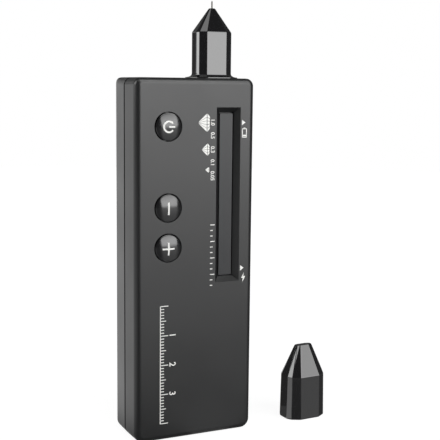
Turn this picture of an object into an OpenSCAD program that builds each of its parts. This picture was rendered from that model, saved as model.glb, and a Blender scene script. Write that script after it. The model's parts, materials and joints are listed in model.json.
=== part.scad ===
// Hand-held gemstone tester with a sprung test needle, three push buttons and a lamp window.
// It stands on its bottom end. X runs to the right, Y from the front to the back and Z up.
// The origin is the middle of the bottom end. The protective cap stands beside the body.

/* [Body] */
// Width of the body at the seam
body_w = 43; // [42:0.5:50]
// Height of the body without the probe
body_h = 120.6; // [119:0.2:134]
// Depth of the front shell, from the seam to the front face
front_depth = 9.7; // [9.5:0.1:11]
// Depth of the rear shell, from the seam to the rear face
rear_depth = 13.3; // [12.8:0.1:17]
// Wall thickness of both shells
wall = 2; // [1.7:0.1:2.2]
// Corner radius of the outline at the top
top_corner_r = 2.8; // [2.6:0.1:4]
// Corner radius of the outline at the bottom
bottom_corner_r = 3.5; // [2.6:0.1:4.5]
// Rounding of the front face's side edges
front_edge_r = 2.1; // [1:0.1:2.4]
// Rounding of the front face's top and bottom edges
front_end_edge_r = 2; // [1:0.1:2.4]
// Rounding of the rear face's side edges
rear_edge_r = 4.5; // [3:0.1:5]
// Rounding of the rear face's top and bottom edges
rear_end_edge_r = 3; // [2:0.1:4]
// Inward slope of each front shell side over its depth
front_draft = 0.25; // [0:0.05:1]
// Inward slope of each rear shell side over its depth
rear_draft = 0.85; // [0:0.05:1.2]
// Chamfer on both rims at the seam
seam_chamfer = 0.4; // [0.1:0.05:0.45]
// Gap between the two rims at the seam
seam_gap = 0.2; // [0.05:0.05:0.3]
// Height of the rear shell's locating lip inside the front shell
lip_h = 1.4; // [0.8:0.1:2]
// Thickness of the locating lip
lip_t = 0.8; // [0.6:0.1:1]
// Clearance of the locating lip to the front shell's wall
lip_clear = 0.1; // [0.05:0.05:0.15]

/* [Probe] */
// Distance of the probe's axis from the body's right side
probe_side = 11.05; // [10.6:0.05:14.5]
// Width of the faceted probe section
probe_w = 13; // [12:0.1:13.4]
// Depth of the faceted probe section
probe_d = 8.6; // [8.2:0.1:9.2]
// Width of the broad front and rear facets
front_facet = 7.1; // [6.6:0.1:7.6]
// Width of the side facets
side_facet = 3.6; // [3:0.1:4.2]
// Length of the straight part, above the flared collar
prism_l = 13.8; // [12:0.2:18]
// Length of the pointed part
point_l = 8; // [7:0.2:9]
// Size of the flat nose as a part of the straight section
nose_share = 0.15; // [0.13:0.01:0.18]
// Height of the flared collar
flare_h = 1.1; // [0.8:0.1:1.6]
// Width of the flared collar beyond the straight part
flare_w = 2.1; // [1.5:0.1:2.3]
// Height of the upright rim under the flare
flare_rim = 0.3; // [0.2:0.1:0.6]
// Step from the section down to the neck in the body's wall
neck_step = 0.3; // [0.2:0.05:0.4]
// Clearance of the neck in the body's wall
neck_clear = 0.15; // [0.1:0.05:0.2]
// Seat gap between the flared collar and the body's top end
collar_seat_gap = 0.02; // [0.01:0.01:0.05]
// Width of the inner flange beyond the section
flange_w = 1; // [0.8:0.1:1.3]
// Thickness of the inner flange
flange_t = 2; // [1.6:0.1:2.4]

/* [Needle] */
// Diameter of the needle's tip
needle_d = 0.5; // [0.4:0.05:0.7]
// Diameter of the needle's shank
shank_d = 1.2; // [1:0.1:1.4]
// Length of needle that stands out of the nose
needle_out = 2.5; // [2:0.1:3]
// How far the needle can be pushed in
needle_travel = 1.2; // [0.8:0.1:1.5]
// Length of the pointed end of the tip
needle_point = 0.6; // [0.4:0.1:1]
// Radial running clearance of the shank in its sleeve
guide_clear = 0.05; // [0.03:0.01:0.08]
// Outer diameter of the guide sleeve
sleeve_d = 2.4; // [2.2:0.1:2.6]
// Length of the guide sleeve
sleeve_l = 10; // [8:0.5:11]
// Depth of the sleeve's top end below the nose
sleeve_inset = 2.8; // [2.6:0.1:3.5]
// Diameter of the heater block
heater_d = 3.4; // [3:0.1:3.6]
// Length of the heater block
heater_l = 3.5; // [3:0.1:4]
// Diameter of the chamber round the heater and the spring
chamber_d = 4.4; // [4.2:0.1:4.8]
// Outer diameter of the spring
spring_d = 3.6; // [3:0.1:3.8]
// Wire diameter of the spring
spring_wire = 0.4; // [0.3:0.05:0.45]
// Turns of the spring
spring_turns = 6; // [5:1:7]
// Diameter of the spring seat's plug
seat_d = 6; // [5.6:0.1:6.2]
// Length of the spring seat's plug
seat_l = 3; // [2.6:0.1:3.4]
// Thickness of the spring seat's head
seat_head = 0.6; // [0.5:0.1:0.8]
// Clearance between pieces that are assembled without moving
fit_clear = 0.05; // [0.04:0.01:0.08]

/* [Buttons] */
// Diameter of the push buttons
button_d = 9.1; // [8:0.1:10]
// Radial gap round a push button
button_gap = 0.24; // [0.2:0.01:0.35]
// Distance of the buttons' axis from the body's left side
button_side = 11.55; // [11:0.05:14]
// Distance of the power button below the top end
power_drop = 15.7; // [15.1:0.1:17.6]
// Distance of the minus button below the top end
minus_drop = 42.1; // [40.6:0.1:42.8]
// Distance of the plus button below the top end
plus_drop = 55.3; // [54.6:0.1:56.6]
// How far a button stands out of the front face at its middle
button_proud = 1.3; // [1:0.1:1.6]
// How far a button's dome falls to its edge
button_dome = 0.9; // [0.6:0.1:1.1]
// Width of a button's flange beyond its skirt
button_flange_w = 0.9; // [0.7:0.1:1.1]
// Thickness of a button's flange
button_flange_t = 0.7; // [0.5:0.1:0.9]
// Rest gap between a button's flange and the front wall
button_rest_gap = 0.1; // [0.05:0.05:0.15]
// Travel of a button
button_travel = 0.5; // [0.3:0.05:0.6]

/* [Switches] */
// Side of a switch body
switch_w = 6; // [5:0.1:6.5]
// Height of a switch body on the board
switch_h = 3.2; // [2.9:0.1:3.5]
// Diameter of a switch stem
stem_d = 3.4; // [3:0.1:3.8]
// Height of a stem above its switch
stem_proud = 0.9; // [0.8:0.05:1.1]
// Depth of a stem inside its switch
stem_in = 0.5; // [0.4:0.05:0.6]
// Radial clearance of a stem in its switch
stem_clear = 0.1; // [0.05:0.01:0.1]

/* [Window] */
// Distance of the window's middle line from the body's right side
window_side = 9.9; // [9.5:0.1:11.1]
// Distance of the window's middle below the top end
window_drop = 38.75; // [38.4:0.05:40.6]
// Width of the visible window strip
window_w = 4.8; // [4:0.1:5.2]
// Length of the visible window strip
window_l = 54.5; // [45:0.5:55]
// Gap round the window strip
window_gap = 0.3; // [0.2:0.05:0.4]
// Width of the sloped border round the window
bevel_w = 1.7; // [1.2:0.1:1.9]
// Depth of the window recess
recess_depth = 1.9; // [1.4:0.1:2.2]
// Thickness of the recess floor
floor_t = 1.2; // [1:0.1:1.4]
// Width of the window's hidden flange
window_flange_w = 0.9; // [0.6:0.1:1.1]
// Thickness of the window's hidden flange
window_flange_t = 0.8; // [0.6:0.1:1]
// Number of indicator lamps
lamps = 12; // [8:1:14]
// Side of an indicator lamp
lamp_w = 1.6; // [1.2:0.1:2]
// Height of an indicator lamp
lamp_h = 0.7; // [0.5:0.1:0.9]
// Side of a cell in the light mask
cell_w = 2.8; // [2.4:0.1:3]

/* [Board] */
// Thickness of the circuit board
board_t = 1.6; // [1.2:0.1:1.8]
// Clearance between the board's sides and the locating lip
board_clear = 0.6; // [0.4:0.1:0.8]
// Clearance between the board's narrow bottom end and the lower screw posts
tongue_clear = 1.2; // [0.7:0.05:2.2]
// Clearance between the board's wide part and the lower screw posts
board_step_clear = 2; // [1.4:0.1:4]
// Clearance between the board's bottom end and the shell
board_end_clear = 0.4; // [0.3:0.1:0.6]
// Distance of the board's top end below the body's top end
board_top_drop = 10.6; // [10.4:0.1:11]
// Diameter of a board post
board_post_d = 4.4; // [4:0.1:4.8]
// Distance of the outer board posts from the board's side
board_post_inset = 2.85; // [2.45:0.05:3.85]
// Distance of the inner upper board post from the middle of the body
board_post_inner_x = 1; // [-0.5:0.1:1.8]
// Distance of the upper board posts below the body's top end
board_post_drop = 29.1; // [27.6:0.1:30.6]
// Height of the lower board posts
board_post_low_z = 20; // [17:0.1:24]
// Shank diameter of a board screw
board_screw_d = 1.5; // [1.3:0.1:1.7]
// Head diameter of a board screw
board_screw_head_d = 3.4; // [3:0.1:3.8]
// Head height of a board screw
board_screw_head_h = 1.1; // [0.8:0.1:1.3]
// Length of a board screw's shank
board_screw_l = 5; // [4:0.1:5.4]
// Side of the controller chip
controller_w = 7; // [6:0.5:9]
// Height of the chips
chip_h = 1.4; // [1:0.1:1.8]
// Diameter of the buzzer
buzzer_d = 9; // [8:0.5:10]
// Height of the buzzer
buzzer_h = 4; // [3:0.1:4.6]

/* [Socket] */
// Distance of the charging socket from the left cover screw
socket_from_screw = 8.7; // [8.4:0.1:9.6]
// Width of the charging socket
socket_w = 8.94; // [8.5:0.02:9.4]
// Height of the charging socket
socket_h = 3.26; // [3:0.02:3.4]
// Length of the charging socket
socket_l = 7.3; // [6.5:0.1:8]
// Wall of the charging socket
socket_wall = 0.3; // [0.25:0.05:0.35]
// Depth of the socket's mouth behind the bottom end
socket_inset = 0.6; // [0.3:0.1:1]
// Gap between the socket and its slot
slot_gap = 0.3; // [0.2:0.05:0.4]

/* [Battery] */
// Distance of the battery cell from each side of the body
cell_side = 6.5; // [6:0.25:9.5]
// Length of the battery cell
cell_l = 48; // [40:0.5:50]
// Thickness of the battery cell
cell_t = 5.2; // [4:0.1:5.4]
// Height of the battery cell's bottom end
cell_z = 20; // [18:0.5:21]
// Thickness of the foam pad behind the cell
pad_t = 0.5; // [0.4:0.1:0.8]
// Diameter of the battery leads
lead_d = 1; // [0.8:0.1:1.2]
// Distance between the battery leads
lead_pitch = 2; // [1.6:0.1:2.4]
// Distance of the battery plug above the end of the battery
plug_gap = 9; // [8:0.1:10]
// Distance of the battery plug from the middle of the body
plug_x = -5; // [-7:0.1:-4]

/* [Fasteners] */
// Distance of the cover screws from the body's sides
screw_side = 6.3; // [6.2:0.1:7.1]
// Height of the lower cover screws
screw_low_z = 7; // [6.4:0.1:7.6]
// Distance of the upper cover screw below the top end
screw_top_drop = 7; // [6.2:0.1:7.2]
// Diameter of the screw posts
post_d = 6; // [5.4:0.1:6]
// Shank diameter of a cover screw
screw_d = 2.4; // [2:0.1:2.6]
// Head diameter of a cover screw
screw_head_d = 4.2; // [3.8:0.1:4.4]
// Radial clearance of a cover screw in the rear shell
screw_clear = 0.1; // [0.05:0.05:0.2]
// Head height of a cover screw
screw_head_h = 1.8; // [1.4:0.1:2.2]
// Length of a cover screw's shank
screw_l = 10; // [8:0.5:11]
// Depth of a screw well in the rear face
well_depth = 8; // [7:0.5:9]

/* [Cap] */
// Distance of the standing cap from the middle of the body
cap_x = 44.7; // [36:0.1:60]
// Distance of the standing cap from the middle of the body, front to back
cap_y = -6.65; // [-12:0.05:6]
// Turn of the standing cap
cap_turn = 2.9; // [0:0.1:10]
// Clearance of the cap round the probe
cap_clear = 0.3; // [0.2:0.05:0.4]
// Wall thickness of the cap at its mouth
cap_wall = 1.05; // [0.8:0.05:1.3]
// Height of the cap
cap_h = 26.2; // [26:0.1:34]
// Height of the cap's shoulder
cap_shoulder = 15.5; // [15:0.1:22]
// Inward slope of the cap's side from the mouth to the shoulder
cap_draft = 0.25; // [0:0.05:0.3]
// Width of the cap's flat top as a part of its section
cap_top_x = 0.43; // [0.38:0.01:0.6]
// Depth of the cap's flat top as a part of its section
cap_top_y = 0.22; // [0.22:0.01:0.4]
// Thickness of the cap's end wall
cap_end_t = 1; // [0.8:0.1:1.2]

/* [Hidden] */
$fn = 48;

slab = 0.01;
over = 1;
edge_steps = 7;
wire_steps = 12;
smallest_corner_r = 0.5;
inner_edge_r = 0.5;

body_t = front_depth + rear_depth;
front_y = -body_t / 2;
rear_y = body_t / 2;
seam_y = front_y + front_depth;
front_inner_y = front_y + wall;
rear_inner_y = rear_y - wall;

probe_x = body_w / 2 - probe_side;
button_x = button_side - body_w / 2;
power_z = body_h - power_drop;
minus_z = body_h - minus_drop;
plus_z = body_h - plus_drop;
window_x = body_w / 2 - window_side;
window_z = body_h - window_drop;
screw_x = body_w / 2 - screw_side;
socket_x = socket_from_screw - screw_x;

lip_inset = wall + lip_clear + front_draft * lip_h / (front_depth - wall);

flange_front_y = front_inner_y + button_rest_gap;
flange_back_y = flange_front_y + button_flange_t;
switch_top_y = flange_back_y + stem_proud;
board_front_y = switch_top_y + switch_h;
board_back_y = board_front_y + board_t;
board_w = body_w - 2 * (lip_inset + lip_t + board_clear);
board_bottom_z = lip_inset + lip_t + board_end_clear;
board_top_z = body_h - board_top_drop;
board_step_z = screw_low_z + post_d / 2 + board_step_clear;
board_tongue_w = 2 * (screw_x - post_d / 2 - tongue_clear);
board_post_x = board_w / 2 - board_post_inset;
board_post_top_z = body_h - board_post_drop;
amplifier_side = 4.85;
amplifier_drop = 22.6;
buzzer_side = 7.85;
buzzer_drop = 19.6;
board_hole_clear = 0.3;
controller_place = [-6, 55];
amplifier_place = [amplifier_side - board_w / 2, body_h - amplifier_drop];
amplifier_size = [5, 4];
charger_place = [4, 22];
charger_size = [4, 5];
coil_place = [-8, 22];
coil_w = 4;
coil_h = 2;
bead_l = 1.6;
bead_w = 0.8;
bead_h = 0.6;
bead_pitch = 4;
bead_row_place = [-10, 34];
bead_column_place = [6, 46];
buzzer_place = [board_w / 2 - buzzer_side, body_h - buzzer_drop];
buzzer_hole_d = 1.6;
leg_w = 0.8;
leg_l = 1;
leg_t = 0.3;
stem_over_travel = 0.2;

opening_w = window_w + 2 * window_gap;
opening_l = window_l + 2 * window_gap;
recess_floor_y = front_y + recess_depth;
window_seat_y = recess_floor_y + floor_t;
mask_front_y = window_seat_y + window_flange_t;
mask_w = window_w + 2 * window_flange_w;
mask_l = window_l + 2 * window_flange_w;
lamp_pitch = (window_l - cell_w) / (lamps - 1);

// Corners of the faceted section: the broad facet's end, the middle corner and the side facet's end.
half_w = probe_w / 2;
half_d = probe_d / 2;
run_x = half_w - front_facet / 2;
run_y = half_d - side_facet / 2;
first_l = 2 * (run_x * cos(30) - run_y * sin(30));
middle_x = front_facet / 2 + first_l * cos(30);
middle_y = half_d - first_l * sin(30);

flare_base_z = body_h + collar_seat_gap;
prism_z = flare_base_z + flare_rim + flare_h;
shoulder_z = prism_z + prism_l;
nose_z = shoulder_z + point_l;
tip_z = nose_z + needle_out;
flange_top_z = body_h - wall - neck_clear;
flange_low_z = flange_top_z - flange_t;
sleeve_top_z = nose_z - sleeve_inset;
sleeve_low_z = sleeve_top_z - sleeve_l;
heater_top_z = sleeve_low_z - fit_clear;
heater_low_z = heater_top_z - heater_l;
seat_top_z = flange_low_z + seat_l;

button_zs = [power_z, minus_z, plus_z];
board_screw_places = [
  [-board_post_x, board_post_top_z], [board_post_inner_x, board_post_top_z],
  [-board_post_x, board_post_low_z], [board_post_x, board_post_low_z]
];
cover_screw_places = [
  [-screw_x, screw_low_z], [screw_x, screw_low_z], [-screw_x, body_h - screw_top_drop]
];
screw_head_y = rear_y - well_depth;
pilot_into_wall = 0.6;
cross_l_share = 0.6;
cross_w_share = 0.14;
lip_break_gap = 1;

socket_y = board_back_y + socket_h / 2;
socket_end_t = 1;
tongue_inset = 1;
tongue_t = 0.7;
tongue_share = 0.75;
cell_back_y = rear_inner_y - pad_t;
cell_mid_y = cell_back_y - cell_t / 2;
cell_x = body_w - 2 * cell_side;
cell_top_z = cell_z + cell_l;
guard_l = 3;
guard_inset = 1;
pad_inset = 2;
guard_top_z = cell_top_z + guard_l;
plug_z = guard_top_z + plug_gap;
header_w = 7.9;
header_l = 6;
header_h = 4.6;
header_wall = 0.7;
header_floor_l = 1.2;
plug_l = 7;
plug_y = board_back_y + header_h / 2;
probe_lead_d = 0.8;
probe_lead_pitch = 2.4;
probe_pad_drop = 3;
probe_pad_z = board_top_z - probe_pad_drop;
probe_lead_reach = 5;
needle_hole_clear = 0.15;
needle_tip_share = 0.4;
seat_head_w = 0.7;
cap_rim_in = 0.3;
cap_rim_h = 0.4;
cap_inner_x_share = 0.8;
cap_inner_y_share = 0.72;
cap_inner_h = cap_h - cap_end_t;
cap_inner_shoulder = prism_l + cap_clear;

// Inset of a drafted and rounded side at a depth from the seam
function side_inset(t, depth, r, draft) =
  let (into = max(0, t - (depth - r))) draft * t / depth + r - sqrt(max(0, r * r - into * into));

// One ring of the twelve-sided section, grown by a margin and scaled in its plane
function facet_quarter(grow) = [
  [half_w + grow, side_facet / 2 + grow * tan(15)],
  [middle_x + grow * cos(45) / cos(15), middle_y + grow * cos(45) / cos(15)],
  [front_facet / 2 + grow * tan(15), half_d + grow]
];
function facet_outline(grow, kx = 1, ky = 1) =
  let (q = facet_quarter(grow)) [
    for (i = [0:2]) [q[i][0] * kx, q[i][1] * ky],
    for (i = [2:-1:0]) [-q[i][0] * kx, q[i][1] * ky],
    for (i = [0:2]) [-q[i][0] * kx, -q[i][1] * ky],
    for (i = [2:-1:0]) [q[i][0] * kx, -q[i][1] * ky]
  ];
function ring_at(outline, z) = [for (p = outline) [p[0], p[1], z]];

// Point and direction on a cubic curve
function curve_point(c, u) =
  pow(1 - u, 3) * c[0] + 3 * pow(1 - u, 2) * u * c[1] + 3 * (1 - u) * u * u * c[2] + pow(u, 3) * c[3];
function curve_way(c, u) =
  let (
    first = pow(1 - u, 2) * (c[1] - c[0]),
    middle = 2 * (1 - u) * u * (c[2] - c[1]),
    way = first + middle + u * u * (c[3] - c[2])
  ) way / norm(way);

// Closed solid through a list of rings with the same number of points
module loft(rings) {
  n = len(rings[0]);
  last = len(rings) - 1;
  sides = [
    for (r = [0:last - 1]) for (i = [0:n - 1])
      [r * n + i, (r + 1) * n + i, (r + 1) * n + (i + 1) % n, r * n + (i + 1) % n]
  ];
  low_end = [for (i = [0:n - 1]) i];
  high_end = [for (i = [n - 1:-1:0]) last * n + i];
  polyhedron([for (ring = rings) each ring], concat(sides, [low_end, high_end]), convexity = 4);
}

// Round wire along a cubic curve that keeps one X value
module curved_wire(c, d) {
  sides = 8;
  x_way = [1, 0, 0];
  loft([
    for (s = [0:wire_steps])
      let (p = curve_point(c, s / wire_steps), side = cross(x_way, curve_way(c, s / wire_steps)))
        [for (k = [0:sides - 1]) p + d / 2 * (cos(360 * k / sides) * x_way + sin(360 * k / sides) * side)]
  ]);
}

// Rectangle with its own corner radii at the top and at the bottom, standing in the X and Z plane
module frame_outline(inset) {
  half = body_w / 2 - inset;
  low_r = bottom_corner_r - min(inset, bottom_corner_r - smallest_corner_r);
  high_r = top_corner_r - min(inset, top_corner_r - smallest_corner_r);
  for (side = [-1, 1]) {
    translate([side * (half - low_r), inset + low_r]) circle(low_r);
    translate([side * (half - high_r), body_h - inset - high_r]) circle(high_r);
  }
  translate([-half + low_r, inset]) square([2 * (half - low_r), body_h - 2 * inset]);
  translate([-half, inset + low_r]) square([2 * half, body_h - 2 * inset - low_r - high_r]);
  translate([-half + high_r, body_h / 2]) square([2 * (half - high_r), body_h / 2 - inset]);
}

// Stands a flat outline up and extrudes it from one depth to another
module from_front(y0, y1) {
  translate([0, y1, 0]) rotate([90, 0, 0]) linear_extrude(y1 - y0) children();
}

// Round bar along the depth
module along_y(x, z, y0, y1, d) {
  translate([x, y1, z]) rotate([90, 0, 0]) cylinder(d = d, h = y1 - y0);
}

// Smooth shell form from the seam outwards: way is -1 to the front and 1 to the rear
module shell_form(way, inset, depth, draft, side_r, end_r, rim) {
  widest_r = max(side_r, end_r);
  arc = [for (k = [0:edge_steps]) depth - widest_r + widest_r * sin(90 * k / edge_steps)];
  hull() for (t = concat(rim > 0 ? [seam_gap / 2, seam_gap / 2 + rim] : [-over, 0], arc)) {
    chamfer = t <= seam_gap / 2 ? rim : 0;
    side = inset + chamfer + side_inset(max(t, 0), depth, side_r, draft);
    end = inset + chamfer + side_inset(t, depth, end_r, 0);
    y = seam_y + way * t + (way < 0 ? slab : 0);
    half = body_w / 2 - side;
    high_r = max(smallest_corner_r, top_corner_r - side);
    low_r = max(smallest_corner_r, bottom_corner_r - side);
    for (s = [-1, 1]) {
      translate([s * (half - high_r), y, body_h - end - high_r])
        rotate([90, 0, 0]) cylinder(r = high_r, h = slab, $fn = 32);
      translate([s * (half - low_r), y, end + low_r])
        rotate([90, 0, 0]) cylinder(r = low_r, h = slab, $fn = 32);
    }
  }
}

module probe_neck_cut() {
  translate([probe_x, 0, flange_top_z - over]) linear_extrude(wall + 3 * over)
    polygon(facet_outline(neck_clear - neck_step));
}

module socket_slot_cut() {
  w = socket_w + 2 * slot_gap;
  h = socket_h + 2 * slot_gap;
  translate([socket_x, socket_y, -over]) linear_extrude(wall + lip_t + 3 * over) stadium(w, h);
}

module stadium(w, h) {
  square([w - h, h], center = true);
  for (side = [-1, 1]) translate([side * (w - h) / 2, 0]) circle(d = h);
}

module window_recess_cut() {
  hull() {
    translate([window_x, front_y - slab / 2, window_z])
      cube([opening_w + 2 * bevel_w, slab, opening_l + 2 * bevel_w], center = true);
    translate([window_x, recess_floor_y - slab / 2, window_z])
      cube([opening_w, slab, opening_l], center = true);
  }
}

module front_cover() {
  color("#303234") difference() {
    union() {
      difference() {
        shell_form(-1, 0, front_depth, front_draft, front_edge_r, front_end_edge_r, seam_chamfer);
        shell_form(-1, wall, front_depth - wall, front_draft, inner_edge_r, inner_edge_r, 0);
      }
      translate([window_x - mask_w / 2, front_inner_y - wall / 2, window_z - mask_l / 2])
        cube([mask_w, window_seat_y - front_inner_y + wall / 2, mask_l]);
      for (p = board_screw_places)
        along_y(p[0], p[1], front_inner_y - wall / 2, board_front_y, board_post_d);
      for (p = cover_screw_places)
        along_y(p[0], p[1], front_inner_y - wall / 2, seam_y - seam_gap / 2, post_d);
    }
    window_recess_cut();
    translate([window_x - opening_w / 2, front_y, window_z - opening_l / 2])
      cube([opening_w, window_seat_y - front_y + over, opening_l]);
    for (z = button_zs)
      along_y(button_x, z, front_y - over, front_inner_y + over, button_d + 2 * button_gap);
    for (p = board_screw_places)
      along_y(p[0], p[1], front_inner_y - pilot_into_wall, board_front_y + over,
        board_screw_d + 2 * fit_clear);
    for (p = cover_screw_places)
      along_y(p[0], p[1], front_inner_y, seam_y + over, screw_d + 2 * fit_clear);
    probe_neck_cut();
    socket_slot_cut();
  }
}

module rear_cover() {
  color("#3a3c3e") difference() {
    union() {
      difference() {
        shell_form(1, 0, rear_depth, rear_draft, rear_edge_r, rear_end_edge_r, seam_chamfer);
        shell_form(1, wall, rear_depth - wall, rear_draft,
          rear_edge_r - wall / 2, rear_end_edge_r - wall / 2, 0);
      }
      difference() {
        from_front(seam_y - lip_h, seam_y + over) frame_outline(lip_inset);
        from_front(seam_y - lip_h - over, seam_y + 2 * over) frame_outline(lip_inset + lip_t);
        lip_break();
      }
      difference() {
        from_front(seam_y + seam_gap, seam_y + over) frame_outline(wall / 2 + rear_draft);
        from_front(seam_y - over, seam_y + 2 * over) frame_outline(lip_inset + lip_t);
        lip_break();
      }
      for (p = cover_screw_places)
        along_y(p[0], p[1], seam_y + seam_gap / 2, rear_inner_y + wall / 2, post_d);
    }
    for (p = cover_screw_places) {
      along_y(p[0], p[1], seam_y - over, rear_y + over, screw_d + 2 * screw_clear);
      along_y(p[0], p[1], screw_head_y, rear_y + over, screw_head_d + 2 * screw_clear);
    }
    probe_neck_cut();
    socket_slot_cut();
  }
}

// Where the lip stops beside the probe's flange
module lip_break() {
  w = probe_w + 2 * (flange_w + lip_break_gap);
  translate([probe_x - w / 2, seam_y - lip_h - over, flange_low_z - over])
    cube([w, lip_h + 3 * over, flange_t + 2 * over]);
}

module cover_screws() {
  color("#8c8f93") for (p = cover_screw_places) difference() {
    union() {
      along_y(p[0], p[1], screw_head_y - screw_l, screw_head_y + slab, screw_d);
      along_y(p[0], p[1], screw_head_y, screw_head_y + screw_head_h, screw_head_d);
    }
    for (turn = [0, 90])
      translate([p[0], screw_head_y + screw_head_h, p[1]]) rotate([0, turn, 0])
        cube([screw_head_d * cross_l_share, screw_head_h, screw_head_d * cross_w_share], center = true);
  }
}

module display_window() {
  color("#141618") union() {
    translate([window_x, (recess_floor_y + window_seat_y) / 2, window_z])
      cube([window_w, floor_t, window_l], center = true);
    translate([window_x, (window_seat_y + mask_front_y) / 2, window_z])
      cube([mask_w, window_flange_t, mask_l], center = true);
  }
}

module light_mask() {
  color("#e8e8e4") difference() {
    translate([window_x - mask_w / 2, mask_front_y, window_z - mask_l / 2])
      cube([mask_w, board_front_y - mask_front_y, mask_l]);
    for (i = [0:lamps - 1])
      translate([window_x - cell_w / 2, mask_front_y - over, lamp_height(i) - cell_w / 2])
        cube([cell_w, board_front_y - mask_front_y + 2 * over, cell_w]);
  }
}

function lamp_height(i) = window_z + (i - (lamps - 1) / 2) * lamp_pitch;

module scale_lamps() {
  color("#f4f0d8") for (i = [0:lamps - 1])
    translate([window_x, board_front_y - lamp_h / 2, lamp_height(i)])
      cube([lamp_w, lamp_h, lamp_w], center = true);
}

module main_board() {
  color("#1f5a36") difference() {
    union() {
      translate([-board_w / 2, board_front_y, board_step_z])
        cube([board_w, board_t, board_top_z - board_step_z]);
      translate([-board_tongue_w / 2, board_front_y, board_bottom_z])
        cube([board_tongue_w, board_t, board_step_z - board_bottom_z + slab]);
    }
    for (p = board_screw_places)
      along_y(p[0], p[1], board_front_y - over, board_back_y + over, board_screw_d + 2 * board_hole_clear);
  }
}

module board_screws() {
  color("#b0b3b6") for (p = board_screw_places) {
    along_y(p[0], p[1], board_back_y - board_screw_l, board_back_y + slab, board_screw_d);
    along_y(p[0], p[1], board_back_y, board_back_y + board_screw_head_h, board_screw_head_d);
  }
}

// Small block on the back of the board, placed by its middle
module on_board(place, size, h) {
  translate([place[0] - size[0] / 2, board_back_y, place[1] - size[1] / 2]) cube([size[0], h, size[1]]);
}

module controller_chip() {
  color("#202124") on_board(controller_place, [controller_w, controller_w], chip_h);
}

module amplifier_chip() {
  color("#202124") on_board(amplifier_place, amplifier_size, chip_h);
}

module charger_chip() {
  color("#202124") on_board(charger_place, charger_size, chip_h);
}

module small_parts() {
  color("#c8b48c") {
    for (i = [0:5]) on_board(bead_row_place + [i * bead_pitch, 0], [bead_l, bead_w], bead_h);
    for (i = [0:3]) on_board(bead_column_place + [0, i * bead_pitch], [bead_w, bead_l], bead_h);
    on_board(coil_place, [coil_w, coil_w], coil_h);
  }
}

module buzzer() {
  color("#18191b") difference() {
    along_y(buzzer_place[0], buzzer_place[1], board_back_y, board_back_y + buzzer_h, buzzer_d);
    along_y(buzzer_place[0], buzzer_place[1], board_back_y + buzzer_h / 2, board_back_y + buzzer_h + over,
      buzzer_hole_d);
  }
}

// Push button with a domed face, a straight skirt and a retaining flange
module push_button(z) {
  face_y = front_y - button_proud;
  dome_r = (pow(button_d / 2, 2) + pow(button_dome, 2)) / (2 * button_dome);
  intersection() {
    along_y(button_x, z, face_y - over, flange_back_y, button_d);
    translate([button_x, face_y + dome_r, z]) sphere(dome_r, $fn = 96);
  }
  along_y(button_x, z, flange_front_y, flange_back_y, button_d + 2 * button_flange_w);
}

module power_button() {
  color("#101113") push_button(power_z);
}

module minus_button() {
  color("#101113") push_button(minus_z);
}

module plus_button() {
  color("#101113") push_button(plus_z);
}

module switch_stem(z) {
  along_y(button_x, z, flange_back_y, switch_top_y + stem_in, stem_d);
}

module power_stem() {
  color("#2a2a2c") switch_stem(power_z);
}

module minus_stem() {
  color("#2a2a2c") switch_stem(minus_z);
}

module plus_stem() {
  color("#2a2a2c") switch_stem(plus_z);
}

// Switch body with its stem hole and four legs that lie on the board
module switch_body(z) {
  bore_end_y = switch_top_y + stem_in + button_travel + stem_over_travel;
  difference() {
    translate([button_x - switch_w / 2, switch_top_y, z - switch_w / 2])
      cube([switch_w, switch_h, switch_w]);
    along_y(button_x, z, switch_top_y - over, bore_end_y, stem_d + 2 * stem_clear);
  }
  for (sx = [-1, 1]) for (sz = [-1, 1])
    translate([button_x + sx * (switch_w + leg_l) / 2, board_front_y - leg_t / 2, z + sz * switch_w / 3])
      cube([leg_l + slab, leg_t, leg_w], center = true);
}

module power_switch() {
  color("#b8babd") switch_body(power_z);
}

module minus_switch() {
  color("#b8babd") switch_body(minus_z);
}

module plus_switch() {
  color("#b8babd") switch_body(plus_z);
}

module charge_socket() {
  color("#a8abae") translate([socket_x, socket_y, socket_inset]) difference() {
    linear_extrude(socket_l) stadium(socket_w, socket_h);
    translate([0, 0, -over]) linear_extrude(socket_l - socket_end_t + over)
      stadium(socket_w - 2 * socket_wall, socket_h - 2 * socket_wall);
  }
}

module socket_tongue() {
  tongue_l = socket_l - socket_end_t - tongue_inset;
  color("#1a1b1d")
    translate([socket_x, socket_y, socket_inset + socket_l - socket_end_t - tongue_l / 2])
      cube([socket_w * tongue_share, tongue_t, tongue_l], center = true);
}

module battery_cell() {
  color("#b9bcc0") translate([-cell_x / 2, cell_back_y - cell_t, cell_z])
    cube([cell_x, cell_t, cell_l]);
}

module cell_guard() {
  color("#c99a2e") translate([-cell_x / 2 + guard_inset, cell_mid_y - cell_t / 4, cell_top_z])
    cube([cell_x - 2 * guard_inset, cell_t / 2, guard_l]);
}

module battery_pad() {
  color("#4a4c4e") translate([-cell_x / 2 + pad_inset, cell_back_y, cell_z + pad_inset])
    cube([cell_x - 2 * pad_inset, pad_t, cell_l - 2 * pad_inset]);
}

module battery_leads() {
  color("#a02420") for (side = [-1, 1]) {
    x = plug_x + side * lead_pitch / 2;
    from = [x, cell_mid_y, guard_top_z];
    to = [x, plug_y, plug_z];
    reach = 0.5 * (plug_z - guard_top_z);
    curved_wire([from, from + [0, 0, reach], to - [0, 0, reach], to], lead_d);
  }
}

module battery_plug() {
  w = header_w - 2 * (header_wall + fit_clear);
  h = header_h - 2 * (header_wall + fit_clear);
  color("#ecebe4") translate([plug_x - w / 2, plug_y - h / 2, plug_z]) cube([w, h, plug_l]);
}

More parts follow.
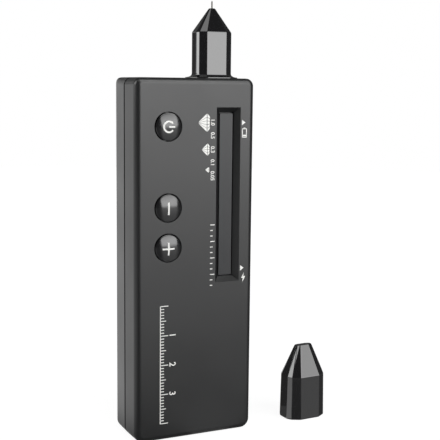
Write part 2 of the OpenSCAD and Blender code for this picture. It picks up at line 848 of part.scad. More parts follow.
module battery_header() {
  low_z = plug_z + plug_l + header_floor_l + fit_clear - header_l;
  color("#f2f1ea") difference() {
    translate([plug_x - header_w / 2, board_back_y, low_z]) cube([header_w, header_h, header_l]);
    translate([plug_x - header_w / 2 + header_wall, board_back_y + header_wall, low_z - over])
      cube([header_w - 2 * header_wall, header_h - 2 * header_wall, header_l - header_floor_l + over]);
  }
}

module probe_housing() {
  flare_steps = 6;
  flare = [
    for (k = [0:flare_steps])
      let (a = 90 * k / flare_steps)
        ring_at(facet_outline(flare_w * (1 - sin(a))), flare_base_z + flare_rim + flare_h * (1 - cos(a)))
  ];
  color("#141517") translate([probe_x, 0, 0]) difference() {
    union() {
      loft(concat(
        [ring_at(facet_outline(flare_w), flare_base_z)], flare,
        [ring_at(facet_outline(0), shoulder_z), ring_at(facet_outline(0, nose_share, nose_share), nose_z)]
      ));
      translate([0, 0, flange_low_z]) linear_extrude(flare_base_z - flange_low_z + flare_rim / 2)
        polygon(facet_outline(-neck_step));
      translate([0, 0, flange_low_z]) linear_extrude(flange_t) polygon(facet_outline(flange_w));
    }
    translate([0, 0, sleeve_top_z - over])
      cylinder(d = needle_d + 2 * needle_hole_clear, h = nose_z - sleeve_top_z + 2 * over);
    translate([0, 0, sleeve_low_z - over]) cylinder(d = sleeve_d + 2 * fit_clear, h = sleeve_l + over);
    translate([0, 0, seat_top_z - over]) cylinder(d = chamber_d, h = sleeve_low_z - seat_top_z + over);
    translate([0, 0, flange_low_z - over]) cylinder(d = seat_d + 2 * fit_clear, h = seat_l + over);
  }
}

module probe_sleeve() {
  color("#b08d4a") translate([probe_x, 0, sleeve_low_z]) difference() {
    cylinder(d = sleeve_d, h = sleeve_l);
    translate([0, 0, -over]) cylinder(d = shank_d + 2 * guide_clear, h = sleeve_l + 2 * over);
  }
}

module probe_needle() {
  shank_top_z = sleeve_top_z - needle_travel / 2;
  color("#c9c4b8") translate([probe_x, 0, 0]) {
    translate([0, 0, heater_top_z]) cylinder(d = shank_d, h = shank_top_z - heater_top_z);
    translate([0, 0, shank_top_z - slab])
      cylinder(d = needle_d, h = tip_z - needle_point - shank_top_z + slab);
    translate([0, 0, tip_z - needle_point])
      cylinder(d1 = needle_d, d2 = needle_d * needle_tip_share, h = needle_point);
  }
}

module probe_heater() {
  color("#e6e2d6") translate([probe_x, 0, heater_low_z]) cylinder(d = heater_d, h = heater_l);
}

module probe_spring() {
  r = (spring_d - spring_wire) / 2;
  low_z = seat_top_z + spring_wire / 2 + fit_clear;
  rise = heater_low_z - seat_top_z - spring_wire - 2 * fit_clear;
  steps_per_turn = 12;
  sides = 6;
  count = spring_turns * steps_per_turn;
  color("#9a9da1") translate([probe_x, 0, 0]) loft([
    for (s = [0:count])
      let (a = 360 * s / steps_per_turn, out = [cos(a), sin(a), 0])
        [for (k = [0:sides - 1]) r * out + [0, 0, low_z + rise * s / count]
          + spring_wire / 2 * (cos(360 * k / sides) * out + [0, 0, sin(360 * k / sides)])]
  ]);
}

module spring_seat() {
  color("#d8d4c4") translate([probe_x, 0, 0]) {
    translate([0, 0, flange_low_z]) cylinder(d = seat_d, h = seat_l);
    translate([0, 0, flange_low_z - seat_head]) cylinder(d = seat_d + 2 * seat_head_w, h = seat_head);
  }
}

module probe_leads() {
  color("#c8a23a") for (side = [-1, 1]) {
    x = probe_x + side * probe_lead_pitch / 2;
    from = [x, 0, flange_low_z - seat_head];
    to = [x, board_back_y, probe_pad_z];
    reach = probe_lead_reach;
    curved_wire([from, from - [0, 0, reach], to + [0, reach, 0], to], probe_lead_d);
  }
}

module protective_cap() {
  mouth_grow = cap_clear + cap_wall;
  color("#141517") translate([cap_x, cap_y, 0]) rotate([0, 0, cap_turn]) difference() {
    loft([
      ring_at(facet_outline(mouth_grow - cap_rim_in), 0),
      ring_at(facet_outline(mouth_grow), cap_rim_h),
      ring_at(facet_outline(mouth_grow - cap_draft), cap_shoulder),
      ring_at(facet_outline(mouth_grow - cap_draft, cap_top_x, cap_top_y), cap_h)
    ]);
    loft([
      ring_at(facet_outline(cap_clear), -over),
      ring_at(facet_outline(cap_clear), cap_inner_shoulder),
      ring_at(
        facet_outline(cap_clear, cap_top_x * cap_inner_x_share, cap_top_y * cap_inner_y_share), cap_inner_h
      )
    ]);
  }
}

front_cover();
rear_cover();
cover_screws();
display_window();
light_mask();
scale_lamps();
main_board();
board_screws();
controller_chip();
amplifier_chip();
charger_chip();
small_parts();
buzzer();
power_button();
minus_button();
plus_button();
power_stem();
minus_stem();
plus_stem();
power_switch();
minus_switch();
plus_switch();
charge_socket();
socket_tongue();
battery_cell();
cell_guard();
battery_pad();
battery_leads();
battery_plug();
battery_header();
probe_housing();
probe_sleeve();
probe_needle();
probe_heater();
probe_spring();
spring_seat();
probe_leads();
protective_cap();
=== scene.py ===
import json
import math

import bmesh
import bpy
from mathutils import Matrix, Vector


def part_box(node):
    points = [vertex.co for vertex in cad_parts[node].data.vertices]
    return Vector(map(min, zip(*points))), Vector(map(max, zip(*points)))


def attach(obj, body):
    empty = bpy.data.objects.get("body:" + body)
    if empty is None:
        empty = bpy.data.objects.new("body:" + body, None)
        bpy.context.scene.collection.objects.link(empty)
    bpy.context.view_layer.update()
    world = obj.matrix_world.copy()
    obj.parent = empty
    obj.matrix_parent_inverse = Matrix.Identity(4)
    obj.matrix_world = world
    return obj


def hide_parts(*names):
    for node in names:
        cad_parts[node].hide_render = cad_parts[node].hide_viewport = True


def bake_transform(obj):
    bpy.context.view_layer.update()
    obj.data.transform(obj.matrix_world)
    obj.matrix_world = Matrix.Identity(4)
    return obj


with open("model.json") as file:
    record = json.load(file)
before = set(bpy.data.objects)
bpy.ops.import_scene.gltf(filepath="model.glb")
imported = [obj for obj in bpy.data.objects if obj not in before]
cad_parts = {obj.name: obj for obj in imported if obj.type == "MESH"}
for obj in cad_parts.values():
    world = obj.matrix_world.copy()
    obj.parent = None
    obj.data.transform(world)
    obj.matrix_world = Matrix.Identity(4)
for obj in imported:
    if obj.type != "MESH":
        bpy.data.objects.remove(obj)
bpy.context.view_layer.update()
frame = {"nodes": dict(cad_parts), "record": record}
mm = 0.001
print("frame loaded:", len(frame["nodes"]), "nodes")


# helpers for nodes, materials and objects

plainWhite = (1, 1, 1, 1)


def hexToLinear(text):
    channels = [int(text[i:i + 2], 16) / 255 for i in (1, 3, 5)]
    return tuple(c / 12.92 if c <= 0.04045 else ((c + 0.055) / 1.055) ** 2.4 for c in channels) + (1.0,)


def addNode(tree, kind, settings=None, links=None):
    # a node with its settings, which are inputs or properties, and the sockets that its inputs are linked to
    node = tree.nodes.new(kind)
    for key, value in (settings or {}).items():
        if isinstance(key, int) or key in node.inputs:
            node.inputs[key].default_value = value
        else:
            setattr(node, key, value)
    for key, source in (links or {}).items():
        tree.links.new(source, node.inputs[key])
    return node


def clearMaterial(name):
    # a new material with an empty tree
    material = bpy.data.materials.new(name)
    material.use_nodes = True
    material.node_tree.nodes.clear()
    return material, material.node_tree


def startMaterial(name, colour, settings):
    # returns the material, its tree, its surface node and the place on the piece in metres
    material, tree = clearMaterial(name)
    surface = addNode(tree, "ShaderNodeBsdfPrincipled", {"Base Color": hexToLinear(colour), **settings})
    addNode(tree, "ShaderNodeOutputMaterial", links={"Surface": surface.outputs["BSDF"]})
    place = addNode(tree, "ShaderNodeTexCoord").outputs["Object"]
    return material, tree, surface, place


def addObject(name, data):
    made = bpy.data.objects.new(name, data)
    bpy.context.scene.collection.objects.link(made)
    return made


def anglesAround(count):
    return [2 * math.pi * k / count for k in range(count)]


def addGrain(tree, surface, place, grain):
    # bump of one spacing in mm and one depth in mm
    noise = addNode(tree, "ShaderNodeTexNoise", {"Scale": 1 / (grain["spacing"] * mm), "Detail": grain["detail"]},
                    {"Vector": place})
    bump = addNode(tree, "ShaderNodeBump", {"Strength": grain["strength"], "Distance": grain["depth"] * mm},
                   {"Height": noise.outputs["Fac"]})
    tree.links.new(bump.outputs["Normal"], surface.inputs["Normal"])
    return noise


patchNoise = {"detail": 3.0, "low": 0.3, "high": 0.7}  # nearly all of the noise lies between low and high


def addPatches(tree, surface, place, patches):
    # roughness that drifts between two values over patches of one size in mm
    noise = addNode(tree, "ShaderNodeTexNoise",
                    {"Scale": 1 / (patches["size"] * mm), "Detail": patchNoise["detail"]}, {"Vector": place})
    spread = addNode(tree, "ShaderNodeMapRange",
                     {"From Min": patchNoise["low"], "From Max": patchNoise["high"],
                      "To Min": patches["smooth"], "To Max": patches["rough"]}, {"Value": noise.outputs["Fac"]})
    tree.links.new(spread.outputs["Result"], surface.inputs["Roughness"])
    return noise


def addTint(tree, surface, source, low, high):
    # base colour that follows a pattern from one colour to another; a colour mix has its colours at inputs 6
    # and 7 and its result at output 2
    mix = addNode(tree, "ShaderNodeMix", {"data_type": "RGBA", 6: hexToLinear(low), 7: hexToLinear(high)},
                  {0: source})
    tree.links.new(mix.outputs[2], surface.inputs["Base Color"])


def makeFinish(name, finish):
    # a material with a grain and, where it has them, patches; its tint follows the patches, or else the grain
    material, tree, surface, place = startMaterial(name, finish["colour"], finish["surface"])
    pattern = addGrain(tree, surface, place, finish["grain"])
    if "patches" in finish:
        pattern = addPatches(tree, surface, place, finish["patches"])
    addTint(tree, surface, pattern.outputs["Fac"], *finish["tint"])
    return material, tree, surface, place


# ABS, injection moulded in a finely eroded tool: a soft satin black with a dry, even grain
satinAbs = {
    "colour": "#0d0e0f", "surface": {"IOR": 1.54, "Roughness": 0.36, "Specular IOR Level": 0.55},
    "grain": {"spacing": 0.55, "detail": 2.0, "strength": 0.12, "depth": 0.03},  # real grit 0.15 mm, drawn coarser
    "patches": {"size": 22, "smooth": 0.33, "rough": 0.4},
    "tint": ("#0b0c0d", "#101112"),
}
satinShell = makeFinish("abs_moulded_satin", satinAbs)[0]

# the rims at the seam get a darker, duller finish than the shell: painted shade, so that the seam reads as one dark
# shadow line
seamShadeAbs = {
    "colour": "#0a0a0b", "surface": {"IOR": 1.54, "Roughness": 0.8, "Specular IOR Level": 0.15},
    "grain": {"spacing": 0.3, "detail": 2.0, "strength": 0.15, "depth": 0.02},
    "tint": ("#08080a", "#0d0d0e"),
}
seamShadeRim = makeFinish("abs_rim_painted_seam_shade", seamShadeAbs)[0]

# ABS from a polished tool: piano black, sharp reflections, a faint wave left by the flow of the melt
glossAbs = {
    "colour": "#08080a", "surface": {"IOR": 1.54, "Roughness": 0.06, "Specular IOR Level": 0.6,
                                     "Coat Weight": 0.7, "Coat IOR": 1.5, "Coat Roughness": 0.03},
    "grain": {"spacing": 7.0, "detail": 1.0, "strength": 0.05, "depth": 0.06},
    "patches": {"size": 9, "smooth": 0.05, "rough": 0.1},
    "tint": ("#070709", "#0b0b0d"),
    # the mop doesn't reach into the flare's corner; from leaves out the cap, which stands lower, all in mm
    "corner": {"from": 100, "low": 120.4, "high": 122.2, "rough": 0.34},
}
glossShell, tree, surface, place = makeFinish("abs_moulded_polished", glossAbs)
polish = surface.inputs["Roughness"].links[0].from_socket
corner = glossAbs["corner"]
height = addNode(tree, "ShaderNodeSeparateXYZ", links={"Vector": place}).outputs["Z"]
dull = addNode(tree, "ShaderNodeMapRange",
               {"From Min": corner["low"] * mm, "From Max": corner["high"] * mm,
                "To Min": corner["rough"], "To Max": 0.0}, {"Value": height})
above = addNode(tree, "ShaderNodeMath", {"operation": "GREATER_THAN", 1: corner["from"] * mm}, {0: height})
inCorner = addNode(tree, "ShaderNodeMath", {"operation": "MULTIPLY"}, {0: dull.outputs[0], 1: above.outputs[0]})
shellFinish = addNode(tree, "ShaderNodeMath", {"operation": "MAXIMUM"}, {0: polish, 1: inCorner.outputs[0]})
tree.links.new(shellFinish.outputs[0], surface.inputs["Roughness"])
coatFinish = addNode(tree, "ShaderNodeMath", {"operation": "MAXIMUM", 1: glossAbs["surface"]["Coat Roughness"]},
                     {0: inCorner.outputs[0]})
tree.links.new(coatFinish.outputs[0], surface.inputs["Coat Roughness"])

# the keys come from the same kind of tool in a slightly softer gloss
keyAbs = {
    "colour": "#0a0a0c", "surface": {"IOR": 1.54, "Roughness": 0.1, "Specular IOR Level": 0.6,
                                     "Coat Weight": 0.3, "Coat IOR": 1.5, "Coat Roughness": 0.08},
    "grain": {"spacing": 4.0, "detail": 1.0, "strength": 0.04, "depth": 0.04},
    "patches": {"size": 6, "smooth": 0.13, "rough": 0.19},
    "tint": ("#09090b", "#0e0e10"),
}
glossKey = makeFinish("abs_key_polished", keyAbs)[0]

# smoked polycarbonate with a fine matt face: an even dark grey, a little lighter than the shell
smokedWindow = {
    "colour": "#242527", "surface": {"IOR": 1.58, "Roughness": 0.36, "Specular IOR Level": 0.34},
    "grain": {"spacing": 0.4, "detail": 2.0, "strength": 0.05, "depth": 0.02},
    "patches": {"size": 14, "smooth": 0.3, "rough": 0.4},
    "tint": ("#222325", "#28292b"),
}
windowSheet = makeFinish("polycarbonate_smoked", smokedWindow)[0]

# pad printed ink: flat white, slightly thin where the pad lifted off
printInk = {
    "colour": "#e4e4e0", "surface": {"IOR": 1.5, "Roughness": 0.55},
    "grain": {"spacing": 0.3, "detail": 3.0, "strength": 0.1, "depth": 0.01},
    "tint": ("#dadad6", "#ecece9"),
}
whiteInk = makeFinish("ink_pad_printed", printInk)[0]

# plated steel wire, ground to a point: bright, drawn lines along its length
platedSteel = {
    "colour": "#625f5b", "surface": {"Metallic": 1.0, "Roughness": 0.26},
    "lines": {"across": 0.05, "along": 1.5, "detail": 3.0, "strength": 0.1, "depth": 0.004},  # in mm
    "tint": ("#55534f", "#6f6c67"),
}
needleMetal, tree, surface, place = startMaterial("steel_ground_plated", platedSteel["colour"],
                                                  platedSteel["surface"])
drawn = platedSteel["lines"]
across, along = 1 / (drawn["across"] * mm), 1 / (drawn["along"] * mm)
stretch = addNode(tree, "ShaderNodeMapping", {"Scale": (across, across, along)}, {"Vector": place})
lines = addNode(tree, "ShaderNodeTexNoise", {"Scale": 1.0, "Detail": drawn["detail"]},
                {"Vector": stretch.outputs["Vector"]})
bump = addNode(tree, "ShaderNodeBump", {"Strength": drawn["strength"], "Distance": drawn["depth"] * mm},
               {"Height": lines.outputs["Fac"]})
tree.links.new(bump.outputs["Normal"], surface.inputs["Normal"])
addTint(tree, surface, lines.outputs["Fac"], *platedSteel["tint"])

# what the shells hold: material, light and dark colour, surface, and the spacing of its grain in mm
innerGrain = {"detail": 3.0, "strength": 0.15, "depth": 0.05}
innerFinishes = {
    "white_mask": ("polystyrene_white_moulded", "#e6e5de", "#dad9d0", {"IOR": 1.59, "Roughness": 0.5}, 0.5),
    "lamp_lens": ("epoxy_lens_cast", "#efe7b8", "#e2d79a", {"IOR": 1.53, "Roughness": 0.15}, 1.5),
    "circuit_board": ("glass_epoxy_solder_mask", "#14532e", "#0f4425", {"IOR": 1.5, "Roughness": 0.3}, 1.2),
    "chip_black": ("epoxy_moulded_black", "#1c1c1e", "#242426", {"IOR": 1.55, "Roughness": 0.6}, 0.2),
    "ceramic_parts": ("alumina_fired", "#d8cfb8", "#c6b894", {"IOR": 1.76, "Roughness": 0.45}, 0.3),
    "zinc_screw": ("steel_zinc_plated", "#a2a4a8", "#85888d", {"Metallic": 1.0, "Roughness": 0.46}, 0.4),
    "switch_metal": ("steel_stamped_nickel", "#bdbfc2", "#a8aaae", {"Metallic": 1.0, "Roughness": 0.28}, 0.6),
    "stem_plastic": ("acetal_moulded_black", "#262628", "#2e2e30", {"IOR": 1.48, "Roughness": 0.45}, 0.4),
    "cell_foil": ("aluminium_laminated_pouch", "#c3c6ca", "#aeb2b7", {"Metallic": 1.0, "Roughness": 0.38}, 3.0),
    "amber_tape": ("polyimide_tape_amber", "#b8791c", "#a4680f", {"IOR": 1.6, "Roughness": 0.25}, 2.0),
    "foam": ("polyurethane_foam_closed_cell", "#424345", "#333436", {"IOR": 1.45, "Roughness": 0.9}, 0.5),
    "lead_cover": ("silicone_lead_red", "#9c1f1b", "#8a1714", {"IOR": 1.41, "Roughness": 0.45}, 0.6),
    "brass": ("brass_turned", "#c9a45c", "#b58f45", {"Metallic": 1.0, "Roughness": 0.24}, 0.2),
    "spring_steel": ("steel_wire_drawn", "#a9abae", "#94969a", {"Metallic": 1.0, "Roughness": 0.3}, 0.2),
    "seat_plastic": ("polyether_ketone_moulded", "#c9bd9c", "#bbae8b", {"IOR": 1.65, "Roughness": 0.5}, 0.4),
    "fine_lead": ("copper_wire_enamelled", "#b8772c", "#a2641d", {"Metallic": 1.0, "Roughness": 0.3}, 0.3),
}
slotMaterials = {"matte_black_shell": satinShell, "gloss_black_plastic": glossShell, "dark_window": windowSheet,
                 "needle_metal": needleMetal}
for slotName, (name, light, dark, settings, spacing) in innerFinishes.items():
    finish = {"colour": light, "surface": settings, "grain": {"spacing": spacing, **innerGrain}, "tint": (dark, light)}
    slotMaterials[slotName] = makeFinish(name, finish)[0]
for part in frame["record"]["subparts"]:
    node = frame["nodes"][part["node"]]
    node.data.materials.clear()
    node.data.materials.append(slotMaterials[part["material_slot"]])
print("materials made:", len(bpy.data.materials))


# pieces dressed over their solids

skinSet = {"weld": 0.0005, "flat": 0.4, "profile": 0.5}  # weld in mm, flat in degrees, a round profile


def dressNode(nodeName, pieceName, bodyName, material, dress):
    # a welded copy of the solid's skin with its chosen sharp edges broken, smooth between them
    mesh = frame["nodes"][nodeName].data.copy()
    mesh.name = pieceName
    if mesh.has_custom_normals:
        mesh.attributes.remove(mesh.attributes["custom_normal"])
    made = bmesh.new()
    made.from_mesh(mesh)
    bmesh.ops.remove_doubles(made, verts=made.verts, dist=skinSet["weld"] * mm)
    bmesh.ops.dissolve_limit(made, angle_limit=math.radians(skinSet["flat"]), verts=made.verts, edges=made.edges)
    chosen = [e for e in made.edges if len(e.link_faces) == 2
              and e.calc_face_angle(0) > math.radians(dress["sharp"]) and dress["where"](e)]
    bmesh.ops.bevel(made, geom=chosen, offset=dress["edge"] * mm, offset_type="OFFSET", segments=dress["steps"],
                    profile=skinSet["profile"], affect="EDGES", clamp_overlap=False)
    for face in made.faces:
        face.smooth = True
    for edge in made.edges:
        edge.smooth = edge.calc_face_angle(0) < math.radians(dress["smooth"])
    made.to_mesh(mesh)
    made.free()
    piece = addObject(pieceName, mesh)
    mesh.materials.clear()
    mesh.materials.append(material)
    # faces on the seam's rims take the darker rim material: painted seam shade
    if "rimDepth" in dress:
        mesh.materials.append(seamShadeRim)
        for face in mesh.polygons:
            if all(abs(mesh.vertices[i].co.y / mm - seamY) < dress["rimDepth"] for i in face.vertices):
                face.material_index = 1
    weighted = piece.modifiers.new("even_shading", "WEIGHTED_NORMAL")
    weighted.keep_sharp = True
    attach(piece, bodyName)
    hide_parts(nodeName)
    print("dressed", nodeName, "broken edges:", len(chosen))


def middleOf(nodeName):
    low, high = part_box(nodeName)
    return (low + high) / 2


inward = -0.01  # a face turned in by less than this still counts as an outer one


def looksOut(edge, axis):
    # whether both faces beside an edge look away from an upright axis
    away = (edge.verts[0].co + edge.verts[1].co) / 2 - axis
    away.z = 0
    return all(face.normal.dot(away) > inward * away.length for face in edge.link_faces)


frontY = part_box("front_cover")[0].y / mm
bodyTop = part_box("front_cover")[1].z / mm
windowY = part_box("display_window")[0].y / mm
coneAxis, capAxis = middleOf("probe_needle"), middleOf("protective_cap")
holeEdge = 0  # keys stand left of the middle, the recess right of it
onPlane = 0.02  # how far from a flat face a corner may lie and still be on it, in mm
flareHeight = 1.2  # of the probe's foot, whose edges stay as they are, in mm
rimDepth = 0.56  # reach of the chamfered rims from the seam's middle, in mm
seamGap = 0.2
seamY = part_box("front_cover")[1].y / mm + seamGap / 2

# edge says how far edges are broken, in mm; sharp is the least angle broken, smooth the least that stays sharp
shellDress = {"sharp": 30, "edge": 0.12, "steps": 3, "smooth": 32, "rimDepth": rimDepth,  # rims of the key holes
              "where": lambda e: all(v.co.y / mm < frontY + onPlane and v.co.x < holeEdge for v in e.verts)}
dressNode("front_cover", "frontShell", "body", satinShell, shellDress)
rearDress = {"sharp": 40, "edge": 0.12, "steps": 3, "smooth": 32, "rimDepth": rimDepth,  # rims of the screw wells
             "where": lambda e: all(v.co.y / mm > -frontY - onPlane for v in e.verts)}
dressNode("rear_cover", "rearShell", "body", satinShell, rearDress)
coneDress = {"sharp": 14, "edge": 0.22, "steps": 3, "smooth": 14,
             "where": lambda e: all(v.co.z / mm > bodyTop + flareHeight for v in e.verts) and looksOut(e, coneAxis)}
dressNode("probe_housing", "probeCone", "body", glossShell, coneDress)
capDress = {"sharp": 14, "edge": 0.12, "steps": 3, "smooth": 14, "where": lambda e: looksOut(e, capAxis)}
dressNode("protective_cap", "facetedCap", "cap", glossShell, capDress)
windowDress = {"sharp": 60, "edge": 0.1, "steps": 3, "smooth": 32,
               "where": lambda e: all(v.co.y / mm < windowY + onPlane for v in e.verts)}
dressNode("display_window", "lampWindow", "body", windowSheet, windowDress)


def finishMesh(name, made, material):
    # the mesh of a shape that was built face by face
    mesh = bpy.data.meshes.new(name)
    made.to_mesh(mesh)
    made.free()
    mesh.materials.append(material)
    return mesh


# the spring, wound as one fixed coil: its lower end rests on the seat, its upper end on the heater; in the real part
# its turns close up as the needle goes in

springSet = {"turns": 6, "wire": 0.4, "steps": 32, "sides": 12}  # wire in mm, steps to a turn, sides of the wire
springLow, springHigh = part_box("probe_spring")
springAxis = Vector((coneAxis.x, coneAxis.y, 0))
wireRadius = springSet["wire"] * mm / 2
coilRadius = (springHigh.x - springLow.x) / 2 - wireRadius
lastStep = springSet["turns"] * springSet["steps"]
made = bmesh.new()
rings = []
for k in range(lastStep + 1):
    turned = 2 * math.pi * k / springSet["steps"]
    outward = Vector((math.cos(turned), math.sin(turned), 0))
    rise = wireRadius + (springHigh.z - springLow.z - 2 * wireRadius) * k / lastStep
    centre = springAxis + outward * coilRadius + Vector((0, 0, springLow.z + rise))
    rings.append([made.verts.new(centre + wireRadius * (outward * math.cos(a) + Vector((0, 0, math.sin(a)))))
                  for a in anglesAround(springSet["sides"])])
for below, above in zip(rings, rings[1:]):
    for s in range(springSet["sides"]):
        t = (s + 1) % springSet["sides"]
        made.faces.new((below[s], below[t], above[t], above[s])).smooth = True
made.faces.new(rings[0])
made.faces.new(rings[-1])
bmesh.ops.recalc_face_normals(made, faces=made.faces)
spring = addObject("needleSpring", finishMesh("needleSpring", made, slotMaterials["spring_steel"]))
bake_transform(spring)
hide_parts("probe_spring")
print("spring wound:", springSet["turns"], "turns")


# the keys: turned domes with a rolled rim, a skirt and the flange that holds them in, in mm

keySet = {"diameter": 9.1, "fall": 0.9, "sink": 0.03, "rim": 0.3, "flangeThickness": 0.7,
          "turns": 96, "domeSteps": 24, "rimSteps": 6, "sharp": 50}
domeRadius = ((keySet["diameter"] / 2) ** 2 + keySet["fall"] ** 2) / (2 * keySet["fall"])


def domeDepth(radius):
    # how far behind the key's foremost point its face lies at a distance from the middle
    return keySet["sink"] + domeRadius - math.sqrt(domeRadius ** 2 - radius ** 2)


def keyProfile(depth, flangeRadius):
    # distance from the middle and depth, from the dome over the rolled rim to the flange's back
    shoulder = keySet["diameter"] / 2 - keySet["rim"]
    slope = math.asin(shoulder / domeRadius)
    roll = keySet["rim"] / (1 - math.sin(slope))
    dome = [shoulder * k / keySet["domeSteps"] for k in range(1, keySet["domeSteps"] + 1)]
    turns = [slope + (math.pi / 2 - slope) * k / keySet["rimSteps"] for k in range(1, keySet["rimSteps"] + 1)]
    rim = [(shoulder + roll * (math.sin(t) - math.sin(slope)),
            domeDepth(shoulder) + roll * (math.cos(slope) - math.cos(t))) for t in turns]
    flangeFront = depth - keySet["flangeThickness"]
    return ([(r, domeDepth(r)) for r in dome] + rim
            + [(keySet["diameter"] / 2, flangeFront), (flangeRadius, flangeFront), (flangeRadius, depth)])


def makeKey(keyName):
    # a key turned about its own middle, in place of its solid
    low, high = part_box(keyName + "_button")
    centre = middleOf(keyName + "_button") / mm
    face, depth = low.y / mm, (high.y - low.y) / mm
    profile = keyProfile(depth, (high.x - low.x) / 2 / mm)
    made = bmesh.new()
    turns = keySet["turns"]
    rings = [[made.verts.new(Vector((centre.x + r * math.cos(a), face + y, centre.z + r * math.sin(a))) * mm)
              for a in anglesAround(turns)] for r, y in profile]
    front = made.verts.new(Vector((centre.x, face + keySet["sink"], centre.z)) * mm)
    back = made.verts.new(Vector((centre.x, face + depth, centre.z)) * mm)
    for k in range(turns):
        n = (k + 1) % turns
        made.faces.new((front, rings[0][k], rings[0][n]))
        made.faces.new((back, rings[-1][n], rings[-1][k]))
        for inner, outer in zip(rings, rings[1:]):
            made.faces.new((inner[k], outer[k], outer[n], inner[n]))
    bmesh.ops.recalc_face_normals(made, faces=made.faces)
    mesh = finishMesh(keyName + "Key", made, glossKey)
    mesh.shade_smooth()
    mesh.set_sharp_from_angle(angle=math.radians(keySet["sharp"]))
    key = addObject(keyName + "Key", mesh)
    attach(key, keyName + "_key")
    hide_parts(keyName + "_button")


for keyName in ("power", "minus", "plus"):
    makeKey(keyName)
print("keys made")


# printed marks, in mm on the front face or on a key's dome

inkLift = 0.02  # the ink's height over its surface
inkWeld = 0.001


def onFront(x, z):
    return Vector((x, frontY - inkLift, z)) * mm


def makeMark(pieceName, bodyName, outlines, toSurface):
    # flat shapes of quads and polygons, laid on a surface
    made = bmesh.new()
    for outline in outlines:
        made.faces.new([made.verts.new(toSurface(x, z)) for x, z in outline])
    bmesh.ops.remove_doubles(made, verts=made.verts, dist=inkWeld * mm)
    bmesh.ops.recalc_face_normals(made, faces=made.faces)
    for face in made.faces:
        if face.normal.y > 0:
            face.normal_flip()
    piece = addObject(pieceName, finishMesh(pieceName, made, whiteInk))
    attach(piece, bodyName)


def barOutlines(x0, z0, x1, z1, width, steps=8):
    # a straight stroke in short quads, so that it follows a dome
    way = Vector((x1 - x0, z1 - z0))
    side = Vector((-way.y, way.x)).normalized() * width / 2
    quads = []
    for k in range(steps):
        a = Vector((x0, z0)) + way * k / steps
        b = Vector((x0, z0)) + way * (k + 1) / steps
        quads.append([tuple(a + side), tuple(b + side), tuple(b - side), tuple(a - side)])
    return quads


def arcOutlines(x, z, radius, width, start, end, steps=40):
    # a part of a ring in short quads, from one angle to another in degrees
    quads = []
    for k in range(steps):
        angles = [math.radians(start + (end - start) * (k + j) / steps) for j in (0, 1)]
        inner, outer = radius - width / 2, radius + width / 2
        (ca, sa), (cb, sb) = [(math.cos(a), math.sin(a)) for a in angles]
        quads.append([(x + inner * ca, z + inner * sa), (x + outer * ca, z + outer * sa),
                      (x + outer * cb, z + outer * sb), (x + inner * cb, z + inner * sb)])
    return quads


def onDome(nodeName):
    # what lays a mark on a key's dome
    face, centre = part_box(nodeName)[0].y / mm, middleOf(nodeName) / mm
    return lambda x, z: Vector((x, face + domeDepth(math.hypot(x - centre.x, z - centre.z)) - inkLift, z)) * mm


# the signs are turned to read downwards too, so the minus stands upright and the power sign opens to the right
signs = {"x": -10.2, "stroke": 0.56, "power": 104.9, "ring": 1.72, "ringFrom": 38, "ringTo": 322, "ringEnd": -8,
         "minus": (80.5, 76.4), "plus": (67.3, 63.1), "middle": 65.2, "left": (-12.3, -10.48), "right": (-9.92, -8.1)}
signX, stroke, middle = signs["x"], signs["stroke"], signs["middle"]
keyMarks = {
    "power": (arcOutlines(signX, signs["power"], signs["ring"], stroke, signs["ringFrom"], signs["ringTo"])
              + barOutlines(signX, signs["power"], signs["ringEnd"], signs["power"], stroke)),
    "minus": barOutlines(signX, signs["minus"][0], signX, signs["minus"][1], stroke),
    "plus": (barOutlines(signX, signs["plus"][0], signX, signs["plus"][1], stroke)
             + barOutlines(signs["left"][0], middle, signs["left"][1], middle, stroke)
             + barOutlines(signs["right"][0], middle, signs["right"][1], middle, stroke)),
}
for keyName, outlines in keyMarks.items():
    makeMark(keyName + "Mark", keyName + "_key", outlines, onDome(keyName + "_button"))

# stone sizes beside the window: three faceted stones seen from the side, their facets parted by thin lines
# in order: where the point, the girdle and the table stand, the middle's height, half the girdle, half the table,
# the facets across, and the share of each that the parting takes
stones = [
    (0.3, 3.75, 4.75, 106.1, 3.12, 2.0, 5, 0.13),
    (1.75, 3.95, 4.7, 97.3, 2.12, 1.25, 4, 0.14),
    (3.1, 4.4, 4.65, 90.6, 1.0, 0.6, 2, 0.1),
]


def stoneOutlines(tip, girdle, table, z, halfGirdle, halfTable, count, parting):
    # a stone's facets, each shrunk about its own middle
    facets = []
    for k in range(count):
        low, high = 2 * k / count - 1, 2 * (k + 1) / count - 1
        facets.append([(tip, z), (girdle, z + halfGirdle * low), (girdle, z + halfGirdle * high)])
        facets.append([(girdle, z + halfGirdle * low), (table, z + halfTable * low), (table, z + halfTable * high),
                       (girdle, z + halfGirdle * high)])
    shrunk = []
    for facet in facets:
        cx, cz = sum(p[0] for p in facet) / len(facet), sum(p[1] for p in facet) / len(facet)
        shrunk.append([(cx + (x - cx) * (1 - parting), cz + (y - cz) * (1 - parting)) for x, y in facet])
    return shrunk


makeMark("stoneMarks", "body", [facet for stone in stones for facet in stoneOutlines(*stone)], onFront)
pointers = {"x": 16.5, "tip": 17.8, "half": 0.9, "heights": (106.1, 56.9)}
makeMark("pointers", "body", [[(pointers["x"], z + pointers["half"]), (pointers["x"], z - pointers["half"]),
                               (pointers["tip"], z)] for z in pointers["heights"]], onFront)

# a short step scale beside the lower half of the window, and a length scale in centimetres below it
stepScale = {"x": 5.2, "top": 72.2, "pitch": 1.86, "count": 12, "every": 3, "short": 0.9, "long": 1.6, "width": 0.3}
ticks = []
for i in range(stepScale["count"]):
    z = stepScale["top"] - i * stepScale["pitch"]
    reach = stepScale["short" if i % stepScale["every"] else "long"]
    ticks += barOutlines(stepScale["x"], z, stepScale["x"] + reach, z, stepScale["width"], 1)
makeMark("stepScale", "body", ticks, onFront)

